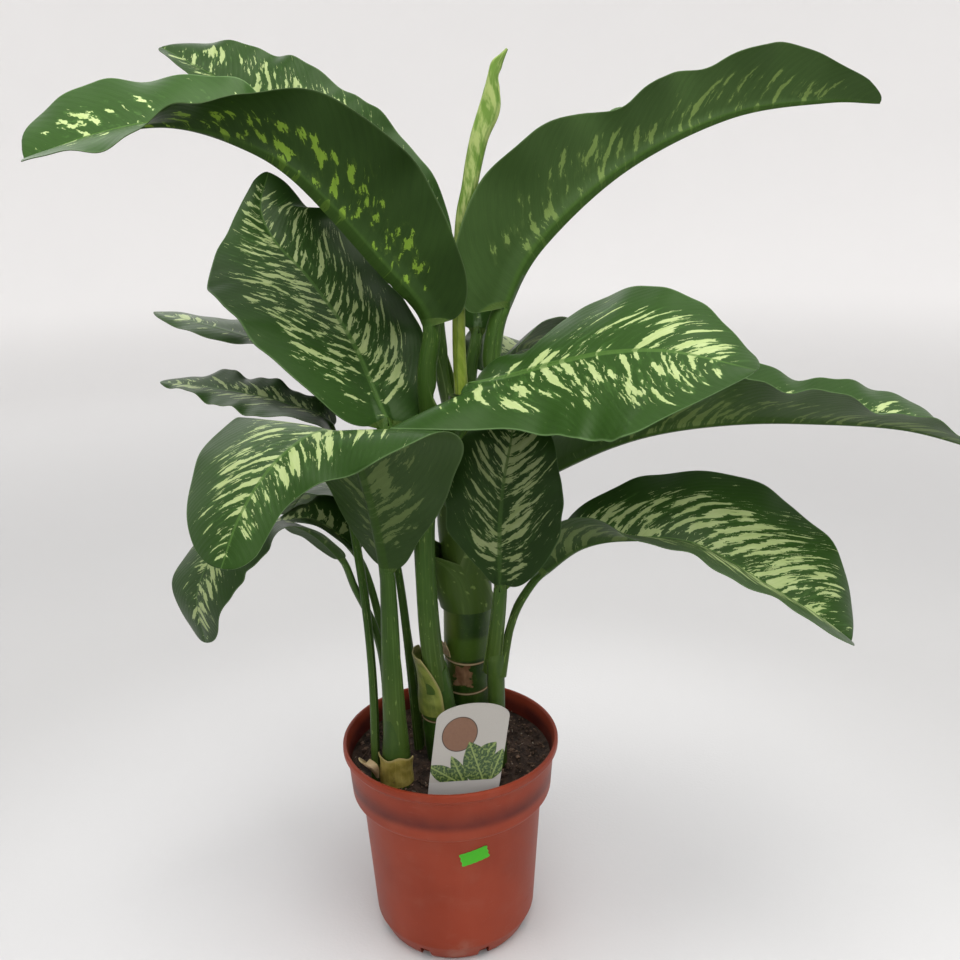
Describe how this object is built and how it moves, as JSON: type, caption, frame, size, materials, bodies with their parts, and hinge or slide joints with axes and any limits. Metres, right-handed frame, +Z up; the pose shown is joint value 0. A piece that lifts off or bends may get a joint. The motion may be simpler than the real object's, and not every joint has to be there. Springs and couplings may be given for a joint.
{
  "type": "potted dieffenbachia",
  "caption": "Potted dumb cane house plant with broad cream-flecked leaves on upright canes, in a round terracotta plastic nursery pot with a blank stake label.",
  "frame": {"origin": "centre of the pot's flat base, on the surface it stands on", "axes": "+Z up along the pot's axis, -Y towards the side with the two labels, +X to that side's right, the way the longest leaves reach"},
  "size_m": [0.8029, 0.4577, 0.8626],
  "materials": {
    "pot_plastic": "terracotta plastic, satin",
    "soil": "loose dark potting soil",
    "cane": "green living cane, satin",
    "new_leaf": "rolled young leaf, yellow-green, satin",
    "leaf": "dark green with cream-green flecks, waxy satin",
    "old_sheath": "pale yellow-green old sheath, satin",
    "dry_sheath": "dry tan scrap, matt",
    "label_card": "off-white plastic card, satin",
    "green_sticker": "bright green sticker, satin"
  },
  "bodies": {
    "root": {"pot": "pot_plastic", "soil": "soil", "main_cane": "cane", "middle_cane": "cane", "left_cane": "cane", "right_shoot": "cane", "spear_leaf": "new_leaf", "leaf_upper_left": "leaf", "leaf_upper_left_back": "leaf", "leaf_upper_right": "leaf", "leaf_left_tall": "leaf", "leaf_left_slim": "leaf", "leaf_left_mid": "leaf", "leaf_left_front": "leaf", "leaf_left_low": "leaf", "leaf_left_low_back": "leaf", "leaf_left_inner": "leaf", "leaf_centre_low": "leaf", "leaf_right_low": "leaf", "leaf_right_mid": "leaf", "leaf_right_far": "leaf", "leaf_back_right": "leaf", "leaf_back_centre": "leaf", "old_sheath_middle": "old_sheath", "torn_sheath_left": "old_sheath", "dry_flap_left": "dry_sheath", "dry_scrap_main": "dry_sheath", "plant_label": "label_card", "price_sticker": "green_sticker"}
  },
  "joints": []
}
